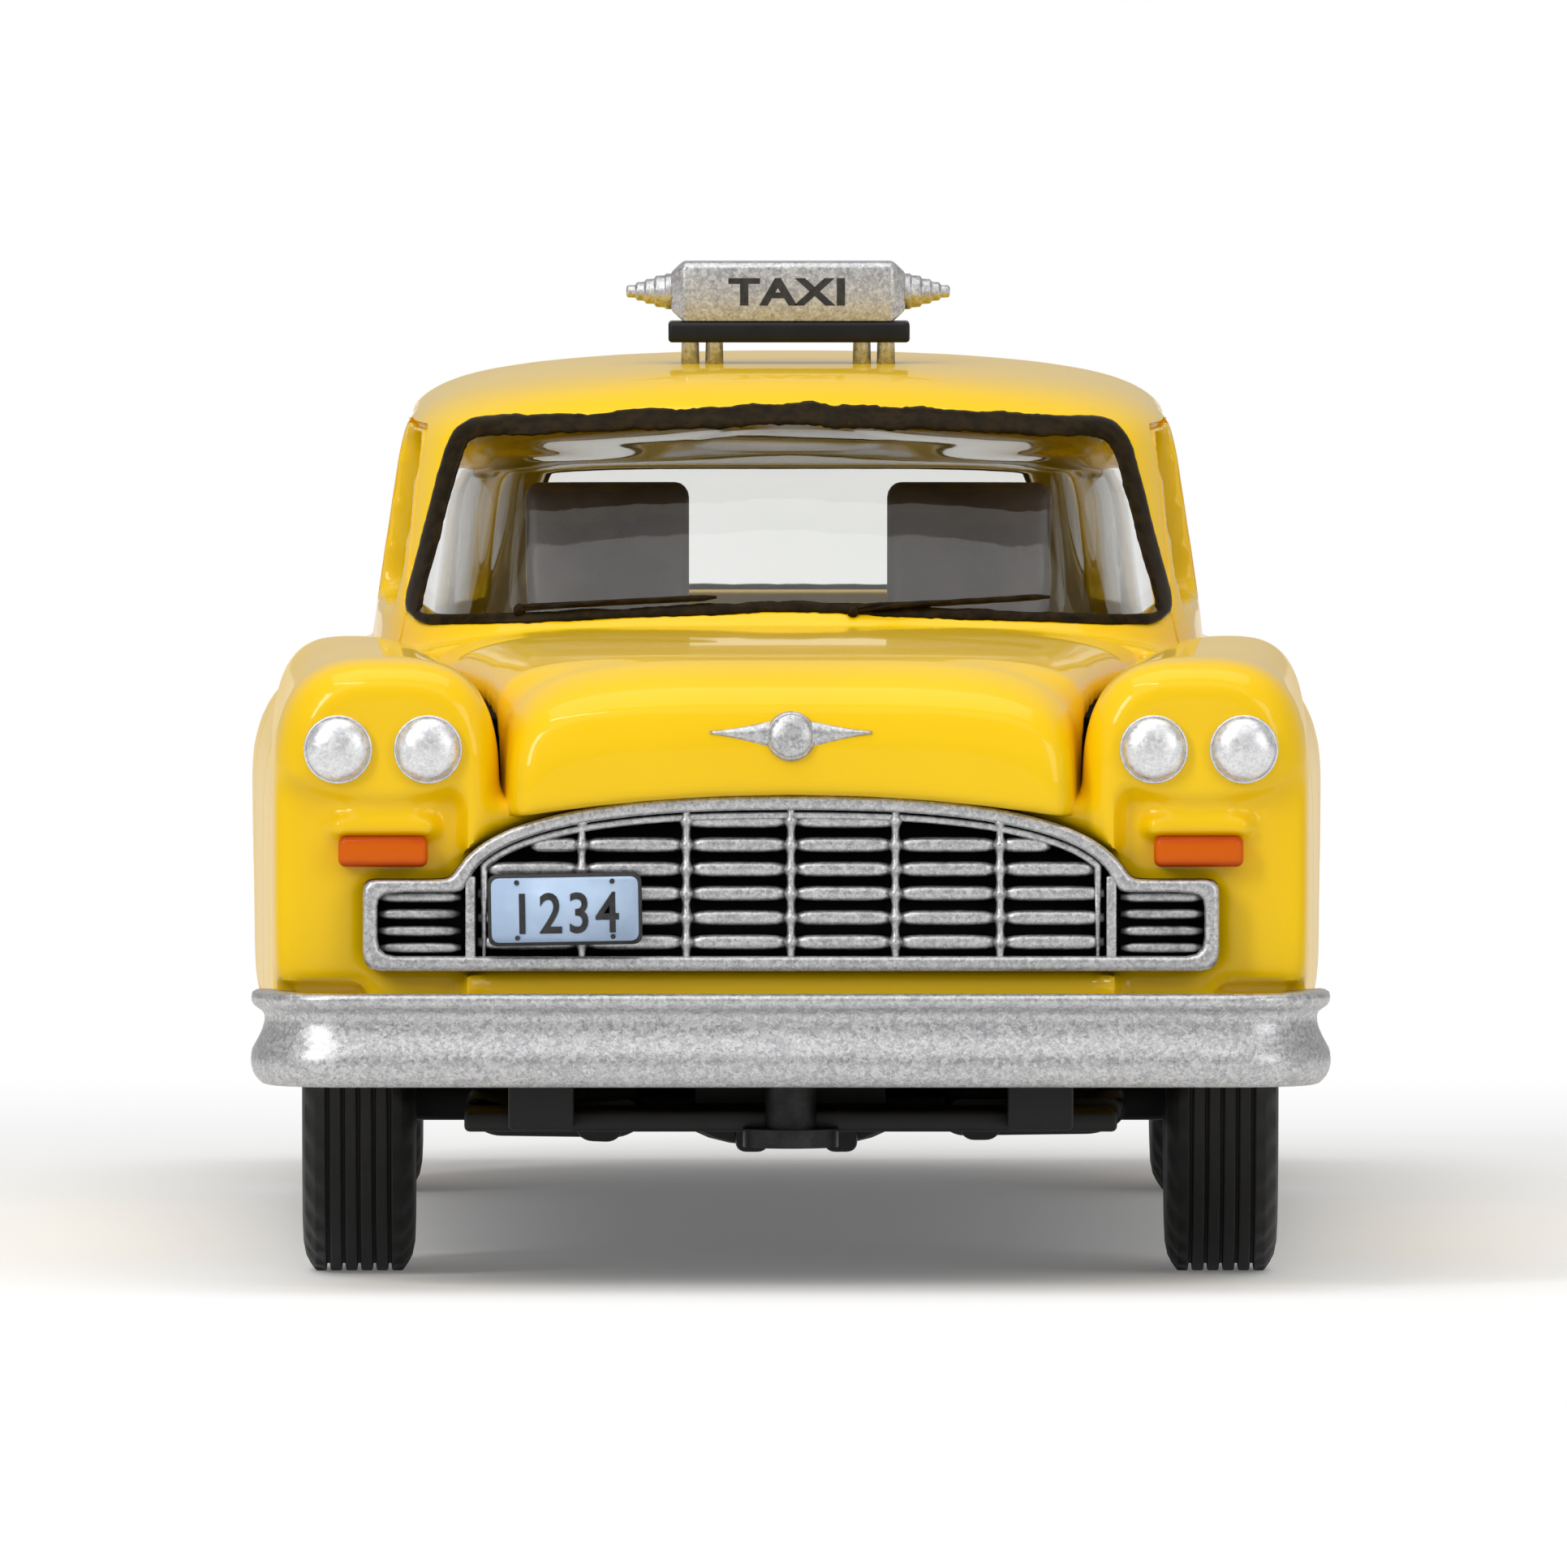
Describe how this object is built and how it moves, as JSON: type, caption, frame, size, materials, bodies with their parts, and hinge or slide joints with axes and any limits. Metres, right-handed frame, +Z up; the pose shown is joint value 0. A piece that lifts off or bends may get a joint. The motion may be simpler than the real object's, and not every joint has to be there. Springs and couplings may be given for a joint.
{
  "type": "toy taxi",
  "caption": "Die-cast toy saloon taxi with an opening bonnet over an engine moulding, wheels that roll on steel axles, clear windows and a sign on its roof.",
  "frame": {"origin": "middle of the footprint, on the ground under the tyres", "axes": "+Z up, -Y towards the front of the car, +X towards the driver's left"},
  "size_m": [0.03, 0.079, 0.0269],
  "materials": {
    "yellow_paint": "thick gloss",
    "silver_paint": "silver flake paint",
    "bright_metal": "bright plated",
    "steel": "drawn",
    "black_plastic": "matt",
    "trim_plastic": "satin",
    "clear_plastic": "clear",
    "amber_plastic": "gloss",
    "red_plastic": "gloss",
    "plate_plastic": "printed",
    "tyre": "matt"
  },
  "bodies": {
    "body": {"body_shell": "yellow_paint", "chassis_base": "black_plastic", "base_screws": "steel", "interior_tub": "trim_plastic", "front_seat_left": "trim_plastic", "front_seat_right": "trim_plastic", "rear_seat": "trim_plastic", "dashboard": "black_plastic", "steering_wheel": "black_plastic", "window_unit": "clear_plastic", "engine_insert": "black_plastic", "grille_insert": "silver_paint", "front_bumper": "silver_paint", "rear_bumper": "silver_paint", "headlamp_left_outer": "silver_paint", "headlamp_left_inner": "silver_paint", "headlamp_right_inner": "silver_paint", "headlamp_right_outer": "silver_paint", "turn_signal_left": "amber_plastic", "turn_signal_right": "amber_plastic", "tail_lamp_left": "red_plastic", "tail_lamp_right": "red_plastic", "front_plate": "plate_plastic", "rear_plate": "plate_plastic", "sign_plinth_piece": "black_plastic", "sign_box": "silver_paint", "sign_cap_left": "silver_paint", "sign_cap_right": "silver_paint", "wiper_left": "black_plastic", "wiper_right": "black_plastic"},
    "bonnet": {"bonnet": "yellow_paint", "bonnet_hinge_pin": "steel", "bonnet_trim_bar": "silver_paint"},
    "front_wheels": {"front_axle": "steel", "front_hub_left": "bright_metal", "front_hub_right": "bright_metal", "front_tyre_left": "tyre", "front_tyre_right": "tyre"},
    "rear_wheels": {"rear_axle": "steel", "rear_hub_left": "bright_metal", "rear_hub_right": "bright_metal", "rear_tyre_left": "tyre", "rear_tyre_right": "tyre"}
  },
  "joints": [
    {"name": "bonnet_hinge", "type": "hinge", "parent": "body", "child": "bonnet", "pos_m": [0, -0.0172, 0.01626], "axis": [-1, 0, 0], "range_deg": [0, 55]},
    {"name": "front_axle_spin", "type": "hinge", "parent": "body", "child": "front_wheels", "pos_m": [0, -0.0259, 0.00555], "axis": [1, 0, 0], "continuous": true},
    {"name": "rear_axle_spin", "type": "hinge", "parent": "body", "child": "rear_wheels", "pos_m": [0, 0.0217, 0.00555], "axis": [1, 0, 0], "continuous": true}
  ]
}
